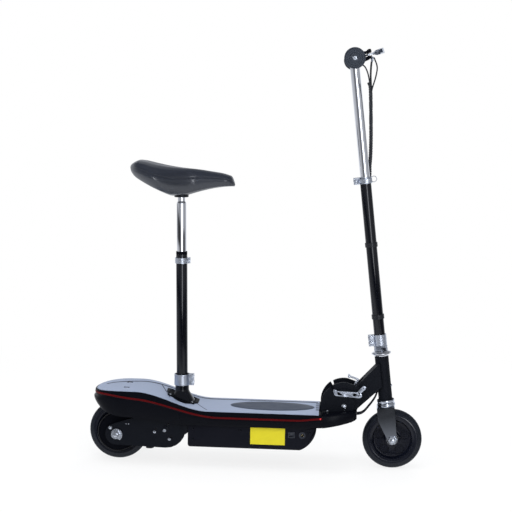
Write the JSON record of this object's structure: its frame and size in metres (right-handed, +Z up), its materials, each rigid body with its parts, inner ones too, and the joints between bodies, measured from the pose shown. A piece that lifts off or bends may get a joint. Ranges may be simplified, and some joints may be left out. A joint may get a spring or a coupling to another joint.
{
  "type": "folding electric scooter",
  "caption": "Low two-wheeled electric scooter with a standing deck, a saddle on a telescopic post and a steering column that folds back at a notched, latched hinge.",
  "frame": {"origin": "on the ground, midway between the two axles", "axes": "+X forward, +Y to the rider's left, +Z up"},
  "size_m": [0.7792, 0.37, 0.9663],
  "materials": {
    "black_paint": "gloss black powder coat",
    "black_plastic": "moulded, fine grain",
    "leather": "smooth black leatherette, shiny",
    "rubber": "soft black rubber",
    "tyre": "black tyre rubber",
    "mat": "grey deck mat with a satin film",
    "red_trim": "dark red, slightly clear",
    "chrome": "polished plate",
    "zinc": "zinc plated",
    "aluminium": "satin"
  },
  "bodies": {
    "chassis": {"deck": "black_plastic", "deck_mat": "mat", "edge_stripe": "red_trim", "body_skirt": "black_plastic", "nose_cover": "black_plastic", "chassis_frame": "black_paint", "right_side_plate": "black_paint", "left_side_plate": "black_paint", "right_snail_cam": "zinc", "left_snail_cam": "zinc", "rear_axle": "zinc", "brake_band": "zinc", "battery_box": "black_plastic", "battery_pack": "black_plastic", "motor_controller": "aluminium", "switch_case": "black_plastic", "charge_socket": "black_plastic", "motor": "black_paint", "drive_belt": "rubber", "hinge_bracket": "black_paint", "pivot_bolt": "zinc", "seat_socket": "black_paint", "lower_seat_clamp": "aluminium"},
    "rear_wheel": {"rear_tyre": "tyre", "rear_rim": "black_plastic", "rear_bearings": "zinc", "rear_pulley": "black_plastic", "brake_drum": "zinc"},
    "motor_rotor": {"motor_pulley": "zinc"},
    "band_arm": {"brake_arm": "zinc"},
    "rocker": {"switch_rocker": "red_trim"},
    "stand": {"kickstand": "zinc"},
    "folding_neck": {"neck": "black_paint", "upper_headset_cup": "chrome", "harness_lower": "rubber"},
    "latch": {"latch_yoke": "zinc"},
    "steering": {"fork": "zinc", "headset_nut": "zinc", "stem_tube": "black_paint", "lower_stem_clamp": "aluminium", "upper_stem_clamp": "aluminium", "harness_upper": "rubber", "harness_stem": "rubber", "front_axle": "zinc"},
    "quick_release": {"quick_release_lever": "zinc"},
    "front_wheel": {"front_tyre": "tyre", "front_rim": "black_plastic", "front_bearings": "zinc"},
    "bar": {"handlebar": "chrome", "left_grip": "rubber", "right_grip": "rubber", "brake_perch": "black_plastic"},
    "throttle": {"throttle_sleeve": "rubber"},
    "hand_brake": {"brake_lever": "aluminium"},
    "mast": {"seat_mast": "black_paint", "post_bush": "black_plastic", "upper_seat_clamp": "aluminium"},
    "seat": {"seat_post": "chrome", "saddle_base": "black_paint", "saddle_cover": "leather"}
  },
  "joints": [
    {"name": "fold", "type": "hinge", "parent": "chassis", "child": "folding_neck", "pos_m": [0.2062, 0, 0.1487], "axis": [0, 1, 0], "range_deg": [-26, 0], "deforming": ["harness_lower"]},
    {"name": "latch_lift", "type": "hinge", "parent": "folding_neck", "child": "latch", "pos_m": [0.2377, 0, 0.1804], "axis": [0, 1, 0], "range_deg": [0, 40]},
    {"name": "steer", "type": "hinge", "parent": "folding_neck", "child": "steering", "pos_m": [0.31405, 0, 0.06821], "axis": [-0.1219, 0, 0.9925], "range_deg": [-45, 45]},
    {"name": "front_wheel_spin", "type": "hinge", "parent": "steering", "child": "front_wheel", "pos_m": [0.3205, 0, 0.069], "axis": [0, 1, 0], "continuous": true},
    {"name": "bar_height", "type": "slide", "parent": "steering", "child": "bar", "axis": [-0.1219, 0, 0.9925], "range_m": [-0.18, 0.08]},
    {"name": "quick_release_swing", "type": "hinge", "parent": "steering", "child": "quick_release", "pos_m": [0.2198, -0.012, 0.66759], "axis": [-0.1219, 0, 0.9925], "range_deg": [-100, 0]},
    {"name": "throttle_twist", "type": "hinge", "parent": "bar", "child": "throttle", "pos_m": [0.20661, -0.11, 0.94324], "axis": [0, -1, 0], "range_deg": [0, 60], "stiffness_Nm_per_rad": 0.15},
    {"name": "brake_squeeze", "type": "hinge", "parent": "bar", "child": "hand_brake", "pos_m": [0.23671, -0.07, 0.95247], "axis": [-0.2756, 0, 0.9613], "range_deg": [-20, 0], "stiffness_Nm_per_rad": 0.6},
    {"name": "band_arm_turn", "type": "hinge", "parent": "chassis", "child": "band_arm", "pos_m": [-0.2965, 0.04, 0.095], "axis": [0, 1, 0], "range_deg": [0, 18]},
    {"name": "rear_wheel_spin", "type": "hinge", "parent": "chassis", "child": "rear_wheel", "pos_m": [-0.3205, 0, 0.069], "axis": [0, 1, 0], "continuous": true},
    {"name": "motor_spin", "type": "hinge", "parent": "chassis", "child": "motor_rotor", "pos_m": [-0.2039, 0, 0.0865], "axis": [0, 1, 0], "continuous": true},
    {"name": "stand_swing", "type": "hinge", "parent": "chassis", "child": "stand", "pos_m": [-0.2955, 0, 0.075], "axis": [0, 1, 0], "range_deg": [0, 105]},
    {"name": "power_rocker", "type": "hinge", "parent": "chassis", "child": "rocker", "pos_m": [0.0873, -0.056, 0.0836], "axis": [1, 0, 0], "range_deg": [0, 16]},
    {"name": "mast_lift", "type": "slide", "parent": "chassis", "child": "mast", "axis": [-0.0183, 0, 0.9998], "range_m": [0, 0.06]},
    {"name": "seat_height", "type": "slide", "parent": "mast", "child": "seat", "axis": [-0.0183, 0, 0.9998], "range_m": [-0.105, 0.08]}
  ],
  "couplings": [
    {"joint": "latch_lift", "follows": "fold", "ratio": -1.5},
    {"joint": "band_arm_turn", "follows": "brake_squeeze", "ratio": -0.9},
    {"joint": "motor_spin", "follows": "rear_wheel_spin", "ratio": 4.6667}
  ]
}
